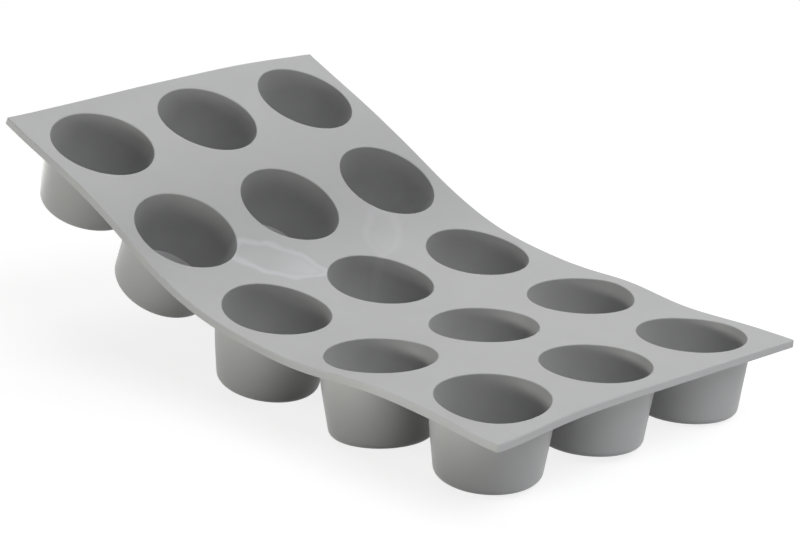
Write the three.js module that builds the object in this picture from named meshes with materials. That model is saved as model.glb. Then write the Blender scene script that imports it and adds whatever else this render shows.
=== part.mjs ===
// Silicone mini muffin mould: a flexible sheet with rows of tapered cups, curled up at one end.
// The moulding is divided where it moves: the sheet folds along a web between two rows of cups,
// and the base of each cup is pushed up inside its wall to turn the cake out.
// +X runs along the mould to the level front row, +Y across it, +Z up from the worktop.
import * as THREE from 'three';

// Driving dimensions, in millimetres and degrees.
const COLUMNS = 3;
const ROW_TILTS = [21.6, 28.6, 9, 0, 0]; // lean of each row, from the lifted end to the level front
const OPENING_RADIUS = 22.5; // mouth of a cup
const CAVITY_DEPTH = 30; // from the top of the sheet to the floor of a cup
const FLOOR_THICKNESS = 2;
const WALL_DRAFT = 6.9; // slope of the cup wall from the upright
const RIM_WALL = 1.9; // cup wall where it passes through the sheet
const BASE_FILLET = 3; // outer rounding under a cup
const CAVITY_FILLET = 2; // inner rounding round the floor of a cup
const FOOT_RING_WIDTH = 2.4; // flat ring under the wall that the cup stands on
const FOOT_RELIEF = 0.3; // height of the base above the foot ring's underside
const SHEET_THICKNESS = 3.4;
const CUP_SURROUND = 2.1; // stiff sheet kept round each cup along the mould
const WEB_LENGTH = 7; // sheet that bends between two rows
const GAP_ACROSS = 10.2; // sheet between two cups of a row
const END_MARGIN = 5.6; // sheet beyond the first and last rows
const SIDE_MARGIN = 4.6; // sheet beyond the outer columns
const PARTING = 0.3; // clearance between neighbouring zones of the moulding
const ROUND_SEGMENTS = 24;
const FILLET_STEPS = 2;
const WEB_STEPS = 4;

const SILICONE = { color: 0xa6a6a5, roughness: 0.55, metalness: 0 };

// Sizes that follow from the driving dimensions.
const radians = THREE.MathUtils.degToRad;
const draftSlope = Math.tan(radians(WALL_DRAFT));
const cornerReach = Math.tan(radians(90 - WALL_DRAFT) / 2); // length a unit fillet takes off each side
const cupDepth = CAVITY_DEPTH + FLOOR_THICKNESS;
const collarRadius = OPENING_RADIUS + RIM_WALL;
const footCornerRadius = collarRadius - (cupDepth - SHEET_THICKNESS) * draftSlope;
const floorCornerRadius = OPENING_RADIUS - CAVITY_DEPTH * draftSlope;
const seatRadius = footCornerRadius - BASE_FILLET * cornerReach - FOOT_RING_WIDTH;
const cavityFillet = Math.min(CAVITY_FILLET, (floorCornerRadius - seatRadius) / cornerReach);
const bandReach = collarRadius + CUP_SURROUND;
const endReach = collarRadius + END_MARGIN;
const columnPitch = 2 * collarRadius + GAP_ACROSS;
const sheetWidth = (COLUMNS - 1) * columnPitch + 2 * (collarRadius + SIDE_MARGIN);
const midSheet = SHEET_THICKNESS / 2;

const silicone = new THREE.MeshStandardMaterial(SILICONE);

const columnPlace = (column) => (column - (COLUMNS + 1) / 2) * columnPitch;

// Points of a rounding between two straight sides that meet at a corner.
function rounding(before, corner, after, radius) {
  const inward = before.clone().sub(corner).normalize();
  const outward = after.clone().sub(corner).normalize();
  const halfAngle = Math.acos(inward.dot(outward)) / 2;
  const bisector = inward.clone().add(outward).normalize();
  const centre = corner.clone().addScaledVector(bisector, radius / Math.sin(halfAngle));
  const start = corner.clone().addScaledVector(inward, radius / Math.tan(halfAngle)).sub(centre);
  const end = corner.clone().addScaledVector(outward, radius / Math.tan(halfAngle)).sub(centre);
  const turn = Math.atan2(start.cross(end), start.dot(end));
  return Array.from({ length: FILLET_STEPS + 1 }, (_, step) =>
    start.clone().rotateAround(new THREE.Vector2(), (turn * step) / FILLET_STEPS).add(centre));
}

// A turned solid about the cup axis, from a profile of radius and height that runs anticlockwise.
function turned(profile) {
  return new THREE.LatheGeometry(profile, ROUND_SEGMENTS).rotateX(Math.PI / 2);
}

// Cup wall: collar through the sheet, drafted wall, rounded foot ring and a ledge round the base.
function cupWall() {
  const innerRim = new THREE.Vector2(OPENING_RADIUS, 0);
  const outerRim = new THREE.Vector2(collarRadius, 0);
  const collar = new THREE.Vector2(collarRadius, -SHEET_THICKNESS);
  const footCorner = new THREE.Vector2(footCornerRadius, -cupDepth);
  const seatFoot = new THREE.Vector2(seatRadius, -cupDepth);
  const seatLedge = new THREE.Vector2(seatRadius, -CAVITY_DEPTH);
  const floorCorner = new THREE.Vector2(floorCornerRadius, -CAVITY_DEPTH);
  return turned([
    innerRim,
    ...rounding(innerRim, floorCorner, seatLedge, cavityFillet),
    seatLedge,
    seatFoot,
    ...rounding(seatFoot, footCorner, collar, BASE_FILLET),
    collar,
    outerRim,
    innerRim,
  ]);
}

// Cup base: the disc of floor inside the foot ring.
function cupBase() {
  const radius = seatRadius - PARTING;
  const underside = FOOT_RELIEF - cupDepth;
  return turned([
    new THREE.Vector2(0, underside),
    new THREE.Vector2(radius, underside),
    new THREE.Vector2(radius, -CAVITY_DEPTH),
    new THREE.Vector2(0, -CAVITY_DEPTH),
  ]);
}

// Band of the sheet that carries one row: a slab with a hole for each cup's collar.
function sheetBand(backReach, frontReach) {
  const outline = new THREE.Shape();
  outline.moveTo(-backReach, -sheetWidth / 2);
  outline.lineTo(frontReach, -sheetWidth / 2);
  outline.lineTo(frontReach, sheetWidth / 2);
  outline.lineTo(-backReach, sheetWidth / 2);
  for (let column = 1; column <= COLUMNS; column += 1) {
    const hole = new THREE.Path();
    hole.absarc(0, columnPlace(column), collarRadius + PARTING, 0, 2 * Math.PI);
    outline.holes.push(hole);
  }
  const slab = { depth: SHEET_THICKNESS, bevelEnabled: false, curveSegments: ROUND_SEGMENTS / 2 };
  return new THREE.ExtrudeGeometry(outline, slab).translate(0, 0, -SHEET_THICKNESS);
}

// Place along the middle of a web that sets off towards -X and turns steadily upwards.
function alongWeb(distance, bend) {
  const turn = (bend * distance) / WEB_LENGTH;
  const straightness = turn === 0 ? 1 : Math.sin(turn / 2) / (turn / 2);
  const chord = distance * straightness;
  return { x: -chord * Math.cos(turn / 2), z: chord * Math.sin(turn / 2), turn };
}

// Fold web: the strip of sheet between two bands, bent to an arc about a line across the mould.
function foldWeb(bend) {
  const edge = (offset) => Array.from({ length: WEB_STEPS + 1 }, (_, step) => {
    const distance = PARTING + ((WEB_LENGTH - 2 * PARTING) * step) / WEB_STEPS;
    const { x, z, turn } = alongWeb(distance, bend);
    return new THREE.Vector2(x + offset * Math.sin(turn), z + offset * Math.cos(turn));
  });
  const section = new THREE.Shape([...edge(midSheet), ...edge(-midSheet).reverse()]);
  return new THREE.ExtrudeGeometry(section, { depth: sheetWidth, bevelEnabled: false })
    .rotateX(Math.PI / 2)
    .translate(0, sheetWidth / 2, 0);
}

function named(name, geometry) {
  const mesh = new THREE.Mesh(geometry, silicone);
  mesh.name = name;
  return mesh;
}

// One row: its band of sheet and its cups, about a point in the middle of the sheet's top face.
function rowOfCups(row, lastRow) {
  const group = new THREE.Group();
  const backReach = row === 1 ? endReach : bandReach;
  const frontReach = row === lastRow ? endReach : bandReach;
  group.add(named(`sheet_band_${row}`, sheetBand(backReach, frontReach)));
  for (let column = 1; column <= COLUMNS; column += 1) {
    const wall = named(`cup_wall_${row}_${column}`, cupWall());
    const base = named(`cup_base_${row}_${column}`, cupBase());
    wall.position.y = columnPlace(column);
    base.position.y = columnPlace(column);
    group.add(wall, base);
  }
  return group;
}

// The rows are chained from the front, each one hung on the bent end of the web before it.
const mould = new THREE.Group();
const frontRow = ROW_TILTS.length;
const chain = rowOfCups(frontRow, frontRow);
chain.rotation.y = radians(ROW_TILTS[frontRow - 1]);
mould.add(chain);

let ahead = chain;
for (let row = frontRow - 1; row >= 1; row -= 1) {
  const bend = radians(ROW_TILTS[row - 1] - ROW_TILTS[row]);
  const webStart = new THREE.Group();
  webStart.position.set(-bandReach, 0, -midSheet);
  webStart.add(named(`fold_web_${row}_${row + 1}`, foldWeb(bend)));
  ahead.add(webStart);

  const webEnd = new THREE.Group();
  const { x, z } = alongWeb(WEB_LENGTH, bend);
  webEnd.position.set(x, 0, z);
  webEnd.rotation.y = bend;
  webStart.add(webEnd);

  const behind = rowOfCups(row, frontRow);
  behind.position.set(-bandReach, 0, midSheet);
  webEnd.add(behind);
  ahead = behind;
}

// The origin is on the worktop, under the middle of the mould.
mould.updateMatrixWorld(true);
const extent = new THREE.Box3().setFromObject(mould, true);
const middle = extent.getCenter(new THREE.Vector3());
chain.position.set(-middle.x, -middle.y, -extent.min.z);

export default mould;
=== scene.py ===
# Silicone mini muffin mould: fifteen tapered cups in a soft grey sheet, curled up at one end.
# Sizes are in millimetres, and MM turns them to metres where Blender takes them.
import math
from functools import partial

import bmesh
import bpy
import numpy as np
from mathutils import Matrix, Vector


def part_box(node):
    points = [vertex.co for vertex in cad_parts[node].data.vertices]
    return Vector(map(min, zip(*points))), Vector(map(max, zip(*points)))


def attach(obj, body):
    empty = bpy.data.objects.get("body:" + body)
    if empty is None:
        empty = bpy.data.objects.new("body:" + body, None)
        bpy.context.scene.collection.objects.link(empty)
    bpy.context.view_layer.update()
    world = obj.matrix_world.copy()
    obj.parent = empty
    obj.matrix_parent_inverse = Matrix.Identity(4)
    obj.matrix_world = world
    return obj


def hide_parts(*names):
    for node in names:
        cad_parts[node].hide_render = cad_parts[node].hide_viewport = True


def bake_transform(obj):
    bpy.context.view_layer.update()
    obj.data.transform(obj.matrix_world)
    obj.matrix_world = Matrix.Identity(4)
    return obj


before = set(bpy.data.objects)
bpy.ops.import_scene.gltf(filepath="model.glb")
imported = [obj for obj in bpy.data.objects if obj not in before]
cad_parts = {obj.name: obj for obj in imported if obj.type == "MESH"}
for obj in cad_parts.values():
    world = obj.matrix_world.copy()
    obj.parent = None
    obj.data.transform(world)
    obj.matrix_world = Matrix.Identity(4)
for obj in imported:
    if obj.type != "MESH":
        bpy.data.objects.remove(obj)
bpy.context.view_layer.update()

# Sheet bands
# The ground of the mould is a sheet of silicone a little over 3 mm thick, pressed in one shot with the
# cups. Each row of cups has its own band of that sheet, which carries the row when the mould is folded.
MM = 0.001
ROWS = (1, 2, 3, 4, 5)
COLUMNS = (1, 2, 3)


def node_size(node):
    low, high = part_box(node)
    return (high - low) / MM


def node_middle(node):
    low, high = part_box(node)
    return (low + high) / 2 / MM


SHEET_WIDTH = node_size("sheet_band_4").y
SHEET_THICKNESS = node_size("sheet_band_4").z
BAND_REACH = node_size("sheet_band_4").x / 2
END_REACH = node_size("sheet_band_5").x - BAND_REACH
ROW_PITCH = node_middle("cup_wall_5_2").x - node_middle("cup_wall_4_2").x
COLUMN_PITCH = node_middle("cup_wall_4_2").y - node_middle("cup_wall_4_1").y
COLLAR_RADIUS = node_size("cup_wall_4_2").x / 2
SHEET_LENGTH = (len(ROWS) - 1) * ROW_PITCH + 2 * END_REACH

# Lean of the sheet in degrees at its lifted end, then at each row and fold, and at its front end.
SHEET_LEAN = (23.5, 22.5, 26, 29.5, 20, 8.5, 3.5, -2, 0, 0, 1)
LEAN_SPACING = SHEET_LENGTH / (len(SHEET_LEAN) - 1)
CURVE_STEP = 0.5
CURVE_MARGIN = 5
SHEET_STAND = 1.9  # lifts the curled sheet until its lowest cup just stands on the worktop

# The sheet is soft, so it rolls and droops by a few millimetres across its width.
FRONT_ROLL = 1.8
FAR_EDGE_DROOP = 1.8
SAG_RUN = (30, 95)  # distance from the middle row over which a roll or droop builds up
CORNER_CUP_SLOPE = 0.04  # outward lean of the cup at the near front corner
CORNER_CUP_REACH = 40

# Its free edge is wavy. Each dip, or rise where the depth is negative, has a place along the mould and
# across it, a depth and a reach.
EDGE_WAVES = (
    (-SHEET_LENGTH / 2, -SHEET_WIDTH / 2, 2.6, 45),
    (-SHEET_LENGTH / 2, -40, 0.5, 25),
    (-SHEET_LENGTH / 2, 45, -1, 32),
    (ROW_PITCH, SHEET_WIDTH / 2, -1.5, 20),
    (96, SHEET_WIDTH / 2, 1.2, 24),
    (SHEET_LENGTH / 2, -SHEET_WIDTH / 2, 3.2, 30),
)

# The bend pinches the sheet into two shallow buckles between cups of rows 2 and 3 that lie on a diagonal.
BUCKLE_SHIFT = 1  # to the rear of the middle between four cups, and outwards from it
BUCKLE_ALONG = -ROW_PITCH / 2 - BUCKLE_SHIFT
BUCKLE_ACROSS = COLUMN_PITCH / 2 + BUCKLE_SHIFT
BUCKLE_DEPTH = 0.25
BUCKLE_RIM = (0.6, 1.2)  # shares of its half size between which a buckle rises to the sheet
NEAR_SIDE, FAR_SIDE = -1, 1
BUCKLES = ((NEAR_SIDE, 44, 20), (FAR_SIDE, 40, 14))  # side, length and width of each


def row_place(row):
    return (row - (len(ROWS) + 1) / 2) * ROW_PITCH


def column_place(column):
    return (column - (len(COLUMNS) + 1) / 2) * COLUMN_PITCH


def smooth_ramp(value, start, end):
    share = np.clip((value - start) / (end - start), 0, 1)
    return share * share * (3 - 2 * share)


def sheet_lean(along):
    """Lean in radians, on a smooth curve through the leans at the rows and folds."""
    lean = np.radians(SHEET_LEAN)
    lean = np.concatenate(([2 * lean[0] - lean[1]], lean, [2 * lean[-1] - lean[-2]]))
    place = np.clip((along + SHEET_LENGTH / 2) / LEAN_SPACING, 0, len(SHEET_LEAN) - 1)
    first = np.minimum(place.astype(int), len(SHEET_LEAN) - 2)
    part = place - first
    before, here, there, after = (lean[first + offset] for offset in range(4))
    rise = there - before
    turn = 2 * before - 5 * here + 4 * there - after
    twist = 3 * here - before - 3 * there + after
    return here + (rise * part + turn * part**2 + twist * part**3) / 2


def summed(rate):
    return np.concatenate(([0], np.cumsum((rate[1:] + rate[:-1]) / 2))) * CURVE_STEP


curve_end = SHEET_LENGTH / 2 + CURVE_MARGIN
curve_along = np.arange(-curve_end, curve_end + CURVE_STEP, CURVE_STEP)
curve_lean = sheet_lean(curve_along)
curve_x = summed(np.cos(curve_lean))
curve_z = -summed(np.sin(curve_lean))

# The curve is set down on the front fold of the frame, and raised by its stand.
front_fold = (row_place(4) + row_place(5)) / 2
front_fold_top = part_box("fold_web_4_5")[1].z / MM
curve_x += node_middle("fold_web_4_5").x - np.interp(front_fold, curve_along, curve_x)
curve_z += front_fold_top + SHEET_STAND - np.interp(front_fold, curve_along, curve_z)


def droop(along, across, depth, reach):
    """A rounded dip of the soft sheet, given by distances from its lowest point."""
    return -depth * np.exp(-(along**2 + across**2) / reach**2)


def buckle_dent(along, across, side, length, width):
    """A shallow oval dent, long towards the middle of the mould."""
    outward = side * across - BUCKLE_ACROSS
    lengthwise = (along - BUCKLE_ALONG - outward) / math.sqrt(2)
    crosswise = (along - BUCKLE_ALONG + outward) / math.sqrt(2)
    reach = np.hypot(lengthwise / length, crosswise / width) * 2
    return -BUCKLE_DEPTH * (1 - smooth_ramp(reach, *BUCKLE_RIM))


def sheet_sag(along, across):
    """Height of the soft sheet above its even curve."""
    side = across / (SHEET_WIDTH / 2)
    roll = -FRONT_ROLL * side * smooth_ramp(along, *SAG_RUN)
    far_edge = -FAR_EDGE_DROOP * np.maximum(side, 0) ** 2 * smooth_ramp(-along, *SAG_RUN)
    waves = sum(droop(along - place_along, across - place_across, depth, reach)
                for place_along, place_across, depth, reach in EDGE_WAVES)
    cup_along, cup_across = along - row_place(5), across - column_place(1)
    outward = (cup_along - cup_across) / math.sqrt(2)
    corner_cup = droop(cup_along, cup_across, CORNER_CUP_SLOPE * outward, CORNER_CUP_REACH)
    dents = sum(buckle_dent(along, across, *buckle) for buckle in BUCKLES)
    return roll + far_edge + waves + corner_cup + dents


def sheet_top(along, across):
    """Point of the sheet's top face at a distance along the mould and across it."""
    lean = np.interp(along, curve_along, curve_lean)
    sag = sheet_sag(along, across)
    x = np.interp(along, curve_along, curve_x) + sag * np.sin(lean)
    z = np.interp(along, curve_along, curve_z) + sag * np.cos(lean)
    return np.stack((x, across, z), axis=-1)


def sheet_axes(along, across):
    """Directions along the sheet, across it and out of its top face."""
    ahead = sheet_top(along + CURVE_STEP, across) - sheet_top(along - CURVE_STEP, across)
    sideways = sheet_top(along, across + CURVE_STEP) - sheet_top(along, across - CURVE_STEP)
    upward = np.cross(ahead, sideways)
    ahead = ahead / np.linalg.norm(ahead, axis=-1, keepdims=True)
    upward = upward / np.linalg.norm(upward, axis=-1, keepdims=True)
    return ahead, np.cross(upward, ahead), upward


def on_sheet(points):
    """Places of points given by distance along, distance across and height over the top face."""
    along, across, height = points.T
    upward = sheet_axes(along, across)[2]
    return (sheet_top(along, across) + upward * height[:, None]) * MM


# Platinum-cured silicone, pressed in a fine-blasted steel tool and not painted. The tool leaves a very
# fine satin grain, which spreads each highlight wide, and the filler leaves the grey a little uneven.
# A painted highlight draws a pale line round each buckle, and painted sheen makes its inner end pale.
SILICONE_GREY = "#B2B2B2"
SILICONE_PALE = "#B7B7B7"
# Colour of the painted highlight round each buckle and of the painted sheen inside it, then the shape of
# both.
PAINTED_BUCKLE_GLINT = "#C6C6C8"
GLINT_LINE = 3.2  # reach of the line to each side
GLINT_RIPPLE = 9  # size of the ripples along it
GLINT_WAVINESS = 0.5  # their height, as a share of a buckle's half size
GLINT_STRENGTH = {NEAR_SIDE: 1, FAR_SIDE: 0.3}
GLINT_TAPER_START = 0.4  # share of a buckle's half length from which its inner end narrows
GLINT_TIP_WIDTH = 0.35  # share of its width that is left at the tip
SHEEN_FILL_RUN = (-0.2, 0.8)  # shares of its half length between which the inside grows pale
SHEEN_FILL = (0.1, 1)  # paleness of the inside at the two ends of that run
SILICONE_IOR = 1.41
SATIN_ROUGHNESS = 0.44
POLISHED_ROUGHNESS = 0.38
TOOL_GRAIN = 0.35  # drawn somewhat coarser than the blasted grain, so that it shows in the render
TOOL_GRAIN_DEPTH = 0.006
FILLER_CLOUD = 14
TOOL_WEAR_PATCH = 22
TOOL_WEAR_SPREAD = (0.3, 0.7)  # values of the noise at a polished and at a satin place
FLAT_PLACE = "flat_place"  # attribute with each point's place on the mould before it was bent


def linear(hex_colour):
    """Linear colour of an sRGB hex value."""
    shares = [int(hex_colour[start:start + 2], 16) / 255 for start in (1, 3, 5)]
    return [s / 12.92 if s <= 0.04045 else ((s + 0.055) / 1.055) ** 2.4 for s in shares] + [1]


def add_node(material, kind, settings, links):
    """Adds a node, sets its properties and inputs, and links its inputs to other nodes' outputs."""
    node = material.node_tree.nodes.new(kind)
    for name, value in settings.items():
        if isinstance(name, int) or name in node.inputs:
            node.inputs[name].default_value = value
        else:
            setattr(node, name, value)
    for name, output in links.items():
        material.node_tree.links.new(output, node.inputs[name])
    return node


def per_metre(size):
    return 1 / (size * MM)


silicone = bpy.data.materials.new("satin_grey_silicone")
silicone.use_nodes = True
silicone.node_tree.nodes.clear()
flat = add_node(silicone, "ShaderNodeAttribute", {"attribute_name": FLAT_PLACE}, {})
place = flat.outputs["Vector"]
cloud = add_node(
    silicone, "ShaderNodeTexNoise",
    {"Scale": per_metre(FILLER_CLOUD), "Detail": 3, "Roughness": 0.55},
    {"Vector": place},
)
grey = add_node(
    silicone, "ShaderNodeMix",
    {"data_type": "RGBA", 6: linear(SILICONE_GREY), 7: linear(SILICONE_PALE)},
    {0: cloud.outputs["Fac"]},
).outputs[2]
ripple = add_node(
    silicone, "ShaderNodeTexNoise",
    {"Scale": per_metre(GLINT_RIPPLE), "Detail": 1},
    {"Vector": place},
)
# Painted highlight line round each buckle and painted sheen towards its inner end, mixed into the grey.
for side, length, width in BUCKLES:
    strength = GLINT_STRENGTH[side]
    line_reach = GLINT_LINE / (width / 2)
    oval = add_node(
        silicone, "ShaderNodeMapping",
        {"vector_type": "TEXTURE", "Location": (BUCKLE_ALONG * MM, side * BUCKLE_ACROSS * MM, 0),
         "Rotation": (0, 0, -side * math.pi / 4), "Scale": (length / 2 * MM, width / 2 * MM, 1)},
        {"Vector": place},
    )
    oval_place = add_node(silicone, "ShaderNodeSeparateXYZ", {}, {0: oval.outputs[0]}).outputs
    taper = add_node(
        silicone, "ShaderNodeMapRange",
        {"From Min": GLINT_TAPER_START, "To Min": 1, "To Max": GLINT_TIP_WIDTH},
        {"Value": oval_place["X"]},
    )
    drawn_in = add_node(
        silicone, "ShaderNodeMath", {"operation": "DIVIDE"},
        {0: oval_place["Y"], 1: taper.outputs["Result"]},
    )
    leaf = add_node(
        silicone, "ShaderNodeCombineXYZ", {}, {"X": oval_place["X"], "Y": drawn_in.outputs[0]},
    )
    reach = add_node(silicone, "ShaderNodeVectorMath", {"operation": "LENGTH"}, {0: leaf.outputs[0]})
    wavy_reach = add_node(
        silicone, "ShaderNodeMath", {"operation": "MULTIPLY_ADD", 1: GLINT_WAVINESS},
        {0: ripple.outputs["Fac"], 2: reach.outputs["Value"]},
    )
    past_line = add_node(
        silicone, "ShaderNodeMath", {"operation": "SUBTRACT", 1: 1 + GLINT_WAVINESS / 2},
        {0: wavy_reach.outputs[0]},
    )
    off_line = add_node(silicone, "ShaderNodeMath", {"operation": "ABSOLUTE"}, {0: past_line.outputs[0]})
    line = add_node(
        silicone, "ShaderNodeMapRange",
        {"interpolation_type": "SMOOTHSTEP", "From Max": line_reach, "To Min": strength, "To Max": 0},
        {"Value": off_line.outputs[0]},
    )
    fill = add_node(
        silicone, "ShaderNodeMapRange",
        {"From Min": SHEEN_FILL_RUN[0], "From Max": SHEEN_FILL_RUN[1],
         "To Min": strength * SHEEN_FILL[0], "To Max": strength * SHEEN_FILL[1]},
        {"Value": oval_place["X"]},
    )
    inside = add_node(
        silicone, "ShaderNodeMapRange",
        {"interpolation_type": "SMOOTHSTEP", "From Min": -line_reach, "From Max": 0, "To Max": 0},
        {"Value": past_line.outputs[0], "To Min": fill.outputs["Result"]},
    )
    painted_glint = add_node(
        silicone, "ShaderNodeMath", {"operation": "MAXIMUM"},
        {0: line.outputs["Result"], 1: inside.outputs["Result"]},
    )
    grey = add_node(
        silicone, "ShaderNodeMix", {"data_type": "RGBA", 7: linear(PAINTED_BUCKLE_GLINT)},
        {0: painted_glint.outputs[0], 6: grey},
    ).outputs[2]
wear = add_node(
    silicone, "ShaderNodeTexNoise",
    {"Scale": per_metre(TOOL_WEAR_PATCH), "Detail": 2},
    {"Vector": place},
)
satin = add_node(
    silicone, "ShaderNodeMapRange",
    {"From Min": TOOL_WEAR_SPREAD[0], "From Max": TOOL_WEAR_SPREAD[1],
     "To Min": POLISHED_ROUGHNESS, "To Max": SATIN_ROUGHNESS},
    {"Value": wear.outputs["Fac"]},
)
grain = add_node(
    silicone, "ShaderNodeTexNoise",
    {"Scale": per_metre(TOOL_GRAIN), "Detail": 2},
    {"Vector": place},
)
grain_bump = add_node(
    silicone, "ShaderNodeBump",
    {"Strength": 1, "Distance": TOOL_GRAIN_DEPTH * MM},
    {"Height": grain.outputs["Fac"]},
)
moulded = add_node(
    silicone, "ShaderNodeBsdfPrincipled",
    {"IOR": SILICONE_IOR},
    {"Base Color": grey, "Roughness": satin.outputs["Result"],
     "Normal": grain_bump.outputs["Normal"]},
)
add_node(silicone, "ShaderNodeOutputMaterial", {}, {"Surface": moulded.outputs["BSDF"]})

EDGE_ROUND = 0.5
EDGE_STEPS = 4
SEAM_MARGIN = 1.1  # ring of flat sheet round a cup's collar that belongs to the cup's own mesh
SEAM_RADIUS = COLLAR_RADIUS + SEAM_MARGIN
ROUND_SEGMENTS = 72
CELL_RINGS = 9
WELD_DISTANCE = 0.005
PLACE_DIGITS = 6  # points of an outline that agree in these decimals count as one
LEAST_DIVISOR = 1e-9  # takes the place of a zero that would be divided by
SEAM_ANGLE = math.radians(40)

turns = np.arange(ROUND_SEGMENTS) * 2 * math.pi / ROUND_SEGMENTS
circle = np.stack((np.cos(turns), np.sin(turns)), axis=-1)
quarter = np.linspace(0, math.pi / 2, EDGE_STEPS + 1)
upper_edge = np.stack((EDGE_ROUND * np.sin(quarter), EDGE_ROUND * (np.cos(quarter) - 1)), axis=-1)
lower_edge = upper_edge[::-1] * (1, -1) - (0, SHEET_THICKNESS)
edge_profile = np.concatenate((upper_edge, lower_edge))


def moulded_piece(name, patches, placed):
    """Welds grids of points into one closed piece with smooth faces, sharp only at its seams."""
    points, flat_places, faces = [], [], []
    for grid in patches:
        start, width = len(points), grid.shape[1]
        flat_places.extend(grid.reshape(-1, 3))
        points.extend(placed(grid.reshape(-1, 3)))
        for row in range(grid.shape[0] - 1):
            for column in range(width - 1):
                corner = start + row * width + column
                faces.append((corner, corner + 1, corner + width + 1, corner + width))
    mesh = bpy.data.meshes.new(name)
    mesh.from_pydata(points, [], faces)
    flat_place = mesh.attributes.new(FLAT_PLACE, "FLOAT_VECTOR", "POINT")
    flat_place.data.foreach_set("vector", np.ravel(flat_places) * MM)
    work = bmesh.new()
    work.from_mesh(mesh)
    bmesh.ops.remove_doubles(work, verts=work.verts, dist=WELD_DISTANCE * MM)
    open_edges = [edge for edge in work.edges if edge.is_boundary]
    bmesh.ops.holes_fill(work, edges=open_edges, sides=0)
    bmesh.ops.recalc_face_normals(work, faces=work.faces)
    for face in work.faces:
        face.smooth = True
    for edge in work.edges:
        edge.smooth = edge.calc_face_angle(math.pi) < SEAM_ANGLE
    work.to_mesh(mesh)
    work.free()
    mesh.materials.append(silicone)
    piece = bpy.data.objects.new(name, mesh)
    bpy.context.scene.collection.objects.link(piece)
    piece.modifiers.new("even_shading", "WEIGHTED_NORMAL").keep_sharp = True
    return piece


def at_height(outline, height):
    return np.column_stack((outline, np.full(len(outline), height)))


def cell_outline(back, front, near, far):
    """Edges of one cup's cell, where rays from the cup's centre meet them, four drawn to its corners."""
    along_reach = np.where(circle[:, 0] > 0, front, back)
    across_reach = np.where(circle[:, 1] > 0, far, near)
    reach = np.stack((along_reach, across_reach), axis=-1)
    stretch = reach / np.maximum(np.abs(circle), LEAST_DIVISOR)
    outline = circle * np.min(stretch, axis=1, keepdims=True)
    for corner in ((front, far), (-back, far), (-back, -near), (front, -near)):
        outline[np.argmin(np.linalg.norm(outline - corner, axis=1))] = corner
    return outline


def band_cell(row, column):
    """Hole and outline of one cup's cell, by distance along the mould and across it."""
    inside_edge = COLUMN_PITCH / 2
    outside_edge = SHEET_WIDTH / 2 - column_place(COLUMNS[-1]) - EDGE_ROUND
    end_edge = END_REACH - EDGE_ROUND
    outline = cell_outline(
        end_edge if row == ROWS[0] else BAND_REACH,
        end_edge if row == ROWS[-1] else BAND_REACH,
        outside_edge if column == COLUMNS[0] else inside_edge,
        outside_edge if column == COLUMNS[-1] else inside_edge,
    )
    centre = np.array((row_place(row), column_place(column)))
    return centre + SEAM_RADIUS * circle, centre + outline


def edge_strip(chain):
    """Rounded edge of the sheet along a chain of points, each with the direction out of the sheet."""
    inset, outward = chain[:, :2], chain[:, 2:]
    return np.stack([at_height(inset + outward * out, height) for out, height in edge_profile])


def facing(points, outward):
    """Chain of points that all have the same direction out of the sheet."""
    return np.column_stack((points, np.tile(outward, (len(points), 1))))


def side_chain(points, axis, value, outward):
    """Points of an outline that lie on one side of it, in order, with the direction out of that side."""
    on_side = np.isclose(points[:, axis], value)
    side = np.unique(np.round(points[on_side], PLACE_DIGITS), axis=0)
    return facing(side[np.argsort(side[:, 1 - axis])], outward)


def corner_chain(before, after):
    """Turn of the outward direction at a corner between two sides."""
    turn = quarter[1:-1, None]
    outward = before[2:] * np.cos(turn) + after[2:] * np.sin(turn)
    return np.column_stack((np.tile(before[:2], (len(outward), 1)), outward))


def edge_chains(row, outlines):
    """Free edges of a band: its two long sides, and its end on the first and last rows."""
    points = np.concatenate(outlines)
    low, high = points.min(axis=0), points.max(axis=0)
    near = side_chain(points, 1, low[1], (0, -1))
    far = side_chain(points, 1, high[1], (0, 1))[::-1]
    if row == ROWS[-1]:
        front = side_chain(points, 0, high[0], (1, 0))
        return [np.concatenate((near, corner_chain(near[-1], front[0]), front,
                                corner_chain(front[-1], far[0]), far))]
    if row == ROWS[0]:
        back = side_chain(points, 0, low[0], (-1, 0))[::-1]
        return [np.concatenate((far, corner_chain(far[-1], back[0]), back,
                                corner_chain(back[-1], near[0]), near))]
    return [near, far]


def closed(ring):
    return np.concatenate((ring, ring[:1]))


for row in ROWS:
    cells = [band_cell(row, column) for column in COLUMNS]
    patches = []
    for hole, outline in cells:
        rings = [closed(hole + (outline - hole) * share) for share in np.linspace(0, 1, CELL_RINGS)]
        top = np.stack([at_height(ring, 0) for ring in rings])
        underside = np.stack([at_height(ring, -SHEET_THICKNESS) for ring in rings])
        patches += [top, underside, np.stack((top[0], underside[0]))]
    chains = edge_chains(row, [outline for hole, outline in cells])
    patches += [edge_strip(chain) for chain in chains]
    band = moulded_piece(f"band_{row}", patches, on_sheet)
    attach(band, f"row_{row}")
    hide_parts(f"sheet_band_{row}")

# Fold webs
# Between two rows the sheet is free of cups, and on the real mould this narrow strip of the same moulding
# is what bends when it is rolled or folded; here it is built once, in its curled shape. It has no crease
# of its own and runs on into the bands.
WEB_STEPS = 10

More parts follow.
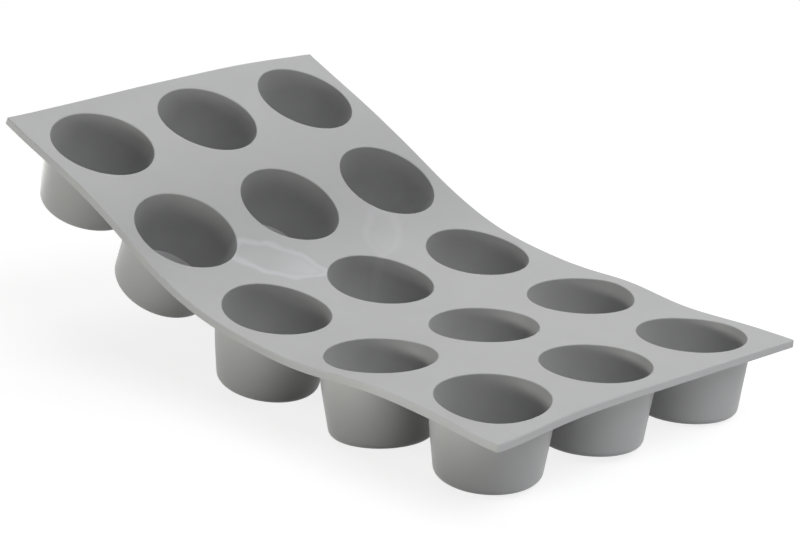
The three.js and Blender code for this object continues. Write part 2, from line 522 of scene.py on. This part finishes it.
row_outline = np.concatenate([band_cell(4, column)[1] for column in COLUMNS])
fold_side = side_chain(row_outline, 0, row_place(4) + BAND_REACH, (1, 0))[:, 1]
for row in ROWS[:-1]:
    web_ends = (row_place(row) + BAND_REACH, row_place(row + 1) - BAND_REACH)
    web_along = np.linspace(*web_ends, WEB_STEPS + 1)
    lines = [np.column_stack((np.full(len(fold_side), along), fold_side)) for along in web_along]
    patches = [np.stack([at_height(line, height) for line in lines]) for height in (0, -SHEET_THICKNESS)]
    for place_in_line, outward in ((0, (0, -1)), (-1, (0, 1))):
        side = np.array([line[place_in_line] for line in lines])
        patches.append(edge_strip(facing(side, outward)))
    web = moulded_piece(f"fold_{row}_{row + 1}", patches, on_sheet)
    start, end = on_sheet(np.array([(along, 0, -SHEET_THICKNESS / 2) for along in web_ends]))
    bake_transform(web)
    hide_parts(f"fold_web_{row}_{row + 1}")

# Cups
# Fifteen tapered cups hang from the sheet, with walls about 2 mm thick, a rounded foot and a thin flat
# floor. They are part of the same moulding; on the real mould a thumb under the floor pushes it up to
# turn a cake out, but here each cup is built fixed in one piece.
CUP_DEPTH = node_size("cup_wall_4_2").z
WALL_SLOPE = math.tan(math.radians(6.9))  # draft that lets the moulding leave its tool
WALL_THICKNESS = 1.9
FLOOR_THICKNESS = 2
MOUTH_RADIUS = COLLAR_RADIUS - WALL_THICKNESS
CAVITY_DEPTH = CUP_DEPTH - FLOOR_THICKNESS
RIM_ROUND = 0.5
CAVITY_FILLET = 0.6
FOOT_FILLET = 3
COLLAR_FILLET = 0.6
FILLET_STEPS = 6
PROFILE_STEP = 2.5
PUSH_START = SHEET_THICKNESS + COLLAR_FILLET  # depth at which a pushed wall starts to give way
FLOOR_EDGE = 1  # height of wall that moves with the floor
PUSH_END = CAVITY_DEPTH - FLOOR_EDGE


def rounded_profile(corners):
    """Profile through corners of (radius, height, rounding), its straight runs cut into short steps."""
    points = []
    for number, (radius, height, rounding) in enumerate(corners):
        corner = np.array((radius, height))
        if rounding == 0:
            points.append(corner)
            continue
        inward = np.array(corners[number - 1][:2]) - corner
        outward = np.array(corners[number + 1][:2]) - corner
        inward, outward = inward / np.linalg.norm(inward), outward / np.linalg.norm(outward)
        half_angle = math.acos(np.clip(inward @ outward, -1, 1)) / 2
        middle = (inward + outward) / np.linalg.norm(inward + outward)
        centre = corner + middle * rounding / math.sin(half_angle)
        first = corner + inward * rounding / math.tan(half_angle) - centre
        last = corner + outward * rounding / math.tan(half_angle) - centre
        sweep = math.pi - 2 * half_angle
        for share in np.linspace(0, 1, FILLET_STEPS + 1):
            mix = first * math.sin((1 - share) * sweep) + last * math.sin(share * sweep)
            points.append(centre + mix / math.sin(sweep))
    profile = [points[0]]
    for point in points[1:]:
        previous = profile[-1]
        steps = max(1, math.ceil(np.linalg.norm(point - previous) / PROFILE_STEP))
        profile += [previous + (point - previous) * step / steps for step in range(1, steps)]
        profile.append(point)
    return np.array(profile)


cup_inside = rounded_profile((
    (SEAM_RADIUS, 0, 0),
    (MOUTH_RADIUS, 0, RIM_ROUND),
    (MOUTH_RADIUS - CAVITY_DEPTH * WALL_SLOPE, -CAVITY_DEPTH, CAVITY_FILLET),
    (0, -CAVITY_DEPTH, 0),
))
cup_outside = rounded_profile((
    (0, -CUP_DEPTH, 0),
    (COLLAR_RADIUS - (CUP_DEPTH - SHEET_THICKNESS) * WALL_SLOPE, -CUP_DEPTH, FOOT_FILLET),
    (COLLAR_RADIUS, -SHEET_THICKNESS, COLLAR_FILLET),
    (SEAM_RADIUS, -SHEET_THICKNESS, 0),
    (SEAM_RADIUS, 0, 0),
))


def turned(profile, centre):
    """Grid of points of a profile turned about the cup's axis."""
    return np.stack([at_height(closed(centre + radius * circle), height) for radius, height in profile])


def in_cup(centre, points):
    """Places of a cup's points: on the curved sheet at its rim, truly round towards its foot."""
    axes = np.stack(sheet_axes(*centre))
    round_cup = (sheet_top(*centre) + (points - (*centre, 0)) @ axes) * MM
    roundness = smooth_ramp(-points[:, 2:], SHEET_THICKNESS, CUP_DEPTH)
    return on_sheet(points) * (1 - roundness) + round_cup * roundness


for row in ROWS:
    for column in COLUMNS:
        centre = np.array((row_place(row), column_place(column)))
        placed = partial(in_cup, centre)
        patches = [turned(cup_inside, centre), turned(cup_outside, centre)]
        cup = moulded_piece(f"cup_{row}_{column}", patches, placed)
        start, end = placed(np.array([(*centre, -PUSH_START), (*centre, -PUSH_END)]))
        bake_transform(cup)
        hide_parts(f"cup_wall_{row}_{column}", f"cup_base_{row}_{column}")

# Worktop
# The mould stands on a sheet of matt white paper that runs out of sight on all sides. It isn't part of
# the object, and it shows plain white with the soft shadow of the mould on it.
PAPER_WHITE = "#FFFFFF"
PAPER_BOUNCE = "#3C3C3C"  # what the paper gives back to the mould, dim as on a small raised table
PAPER_LIGHT = 0.82  # white that the paper shows by itself, also where it lies in shadow
PAPER_SHADE = "#959595"
PAPER_RADIUS = 1200
PAPER_SEGMENTS = 96
PAPER_FADE = (330, 900)  # distances from the middle between which the paper fades into the white room
PAPER_DROP = 0.05  # keeps the paper just clear of the feet


def seen_directly(owner):
    """Whether a ray comes from the camera, a reflection or a clear piece."""
    rays = add_node(owner, "ShaderNodeLightPath", {}, {}).outputs
    seen = add_node(owner, "ShaderNodeMath", {"operation": "MAXIMUM"},
                    {0: rays["Is Camera Ray"], 1: rays["Is Glossy Ray"]})
    seen = add_node(owner, "ShaderNodeMath", {"operation": "MAXIMUM"},
                    {0: seen.outputs[0], 1: rays["Is Transmission Ray"]})
    return seen.outputs[0]


paper = bpy.data.materials.new("matt_white_paper")
paper.use_nodes = True
paper.node_tree.nodes.clear()
shaded = add_node(paper, "ShaderNodeBsdfDiffuse", {"Color": linear(PAPER_SHADE)}, {})
white = add_node(paper, "ShaderNodeEmission", {"Color": linear(PAPER_WHITE), "Strength": PAPER_LIGHT}, {})
shown = add_node(paper, "ShaderNodeAddShader", {}, {0: shaded.outputs[0], 1: white.outputs[0]})
bounce = add_node(paper, "ShaderNodeBsdfDiffuse", {"Color": linear(PAPER_BOUNCE)}, {})
sheet_of_paper = add_node(paper, "ShaderNodeMixShader", {},
                          {0: seen_directly(paper), 1: bounce.outputs[0], 2: shown.outputs[0]})
spot = add_node(paper, "ShaderNodeNewGeometry", {}, {})
distance = add_node(paper, "ShaderNodeVectorMath", {"operation": "LENGTH"}, {0: spot.outputs["Position"]})
fade = add_node(
    paper, "ShaderNodeMapRange",
    {"interpolation_type": "SMOOTHSTEP", "From Min": PAPER_FADE[0] * MM, "From Max": PAPER_FADE[1] * MM},
    {"Value": distance.outputs["Value"]},
)
clear = add_node(paper, "ShaderNodeBsdfTransparent", {}, {})
faded = add_node(paper, "ShaderNodeMixShader", {},
                 {0: fade.outputs["Result"], 1: sheet_of_paper.outputs[0], 2: clear.outputs[0]})
add_node(paper, "ShaderNodeOutputMaterial", {}, {"Surface": faded.outputs[0]})

worktop_mesh = bpy.data.meshes.new("worktop")
work = bmesh.new()
bmesh.ops.create_circle(work, cap_ends=True, segments=PAPER_SEGMENTS, radius=PAPER_RADIUS * MM,
                        matrix=Matrix.Translation((0, 0, -PAPER_DROP * MM)))
work.to_mesh(worktop_mesh)
work.free()
worktop_mesh.materials.append(paper)
worktop = bpy.data.objects.new("worktop", worktop_mesh)
bpy.context.scene.collection.objects.link(worktop)

# Studio light
# A white room with four large soft boxes high round the mould, two narrow strips low on its left and near
# side, a strip on the worktop before the front row, and two white cards that throw light up at the cups.
ROOM_WHITE = "#FFFFFF"
NEUTRAL_LIGHT = "#FFFFFF"
COOL_LIGHT = "#FCFDFF"
WARM_LIGHT = "#FFFFFA"
MOULD_MIDDLE = Vector((0, 0, 45))
LEFT_CARD = Vector((-475, -100, 1))
NEAR_CARD = Vector((110, -265, 1))
STRAIGHT_UP = Vector((0, 0, 1))

room = bpy.data.worlds.new("white_room")
room.use_nodes = True
room.node_tree.nodes.clear()
walls = add_node(room, "ShaderNodeBackground", {"Color": linear(ROOM_WHITE)},
                 {"Strength": seen_directly(room)})
add_node(room, "ShaderNodeOutputWorld", {}, {"Surface": walls.outputs[0]})
bpy.context.scene.world = room


def soft_box(name, place, aim, width, height, power, colour):
    """A flat lamp that faces an aim, with its power in watts."""
    lamp = bpy.data.lights.new(name, "AREA")
    lamp.shape = "RECTANGLE"
    lamp.size = width * MM
    lamp.size_y = height * MM
    lamp.energy = power
    lamp.color = linear(colour)[:3]
    box = bpy.data.objects.new(name, lamp)
    box.location = Vector(place) * MM
    box.rotation_euler = (Vector(aim) - Vector(place)).to_track_quat("-Z", "Y").to_euler()
    box.visible_camera = False
    bpy.context.scene.collection.objects.link(box)


soft_box("overhead_soft_box", (-450, 350, 1100), MOULD_MIDDLE, 800, 800, 4, NEUTRAL_LIGHT)
soft_box("back_soft_box", (-700, 700, 800), MOULD_MIDDLE, 700, 500, 1.4, NEUTRAL_LIGHT)
soft_box("far_soft_box", (300, 800, 680), MOULD_MIDDLE, 600, 450, 2.6, NEUTRAL_LIGHT)
soft_box("front_soft_box", (600, 50, 950), MOULD_MIDDLE, 900, 800, 5.5, COOL_LIGHT)
soft_box("near_strip", (0, -900, 150), MOULD_MIDDLE, 400, 60, 0.75, WARM_LIGHT)
soft_box("left_strip", (-430, -800, 150), MOULD_MIDDLE, 500, 60, 2.1, WARM_LIGHT)
soft_box("front_strip", (270, 20, 6), (0, 20, 6), 360, 12, 0.145, COOL_LIGHT)
soft_box("left_card", LEFT_CARD, LEFT_CARD + STRAIGHT_UP, 250, 400, 1.25, WARM_LIGHT)
soft_box("near_card", NEAR_CARD, NEAR_CARD + STRAIGHT_UP, 250, 150, 0.8, WARM_LIGHT)

# Camera
# A long lens more than a metre away looks along the diagonal of the mould, from before its near front
# corner and a little from above. It is rolled by two degrees.
CAMERA_AIM = (3.5, 2.8, 44.5)
CAMERA_DISTANCE = 1187
CAMERA_AZIMUTH = math.radians(44.24)
CAMERA_ELEVATION = math.radians(18.27)
CAMERA_ROLL = math.radians(2.09)
LENS = 128.3
SENSOR_WIDTH = 36

forward = Vector((
    -math.sin(CAMERA_AZIMUTH) * math.cos(CAMERA_ELEVATION),
    math.cos(CAMERA_AZIMUTH) * math.cos(CAMERA_ELEVATION),
    -math.sin(CAMERA_ELEVATION),
))
level_right = forward.cross(STRAIGHT_UP).normalized()
level_up = level_right.cross(forward)
right = level_right * math.cos(CAMERA_ROLL) + level_up * math.sin(CAMERA_ROLL)
up = right.cross(forward)
lens = bpy.data.cameras.new("camera")
lens.sensor_fit = "HORIZONTAL"
lens.sensor_width = SENSOR_WIDTH
lens.lens = LENS
camera = bpy.data.objects.new("camera", lens)
turned_camera = Matrix((right, up, -forward)).transposed().to_4x4()
camera_place = (Vector(CAMERA_AIM) - forward * CAMERA_DISTANCE) * MM
camera.matrix_world = Matrix.Translation(camera_place) @ turned_camera
bpy.context.scene.collection.objects.link(camera)
bpy.context.scene.camera = camera
bpy.context.scene.view_settings.view_transform = "Standard"
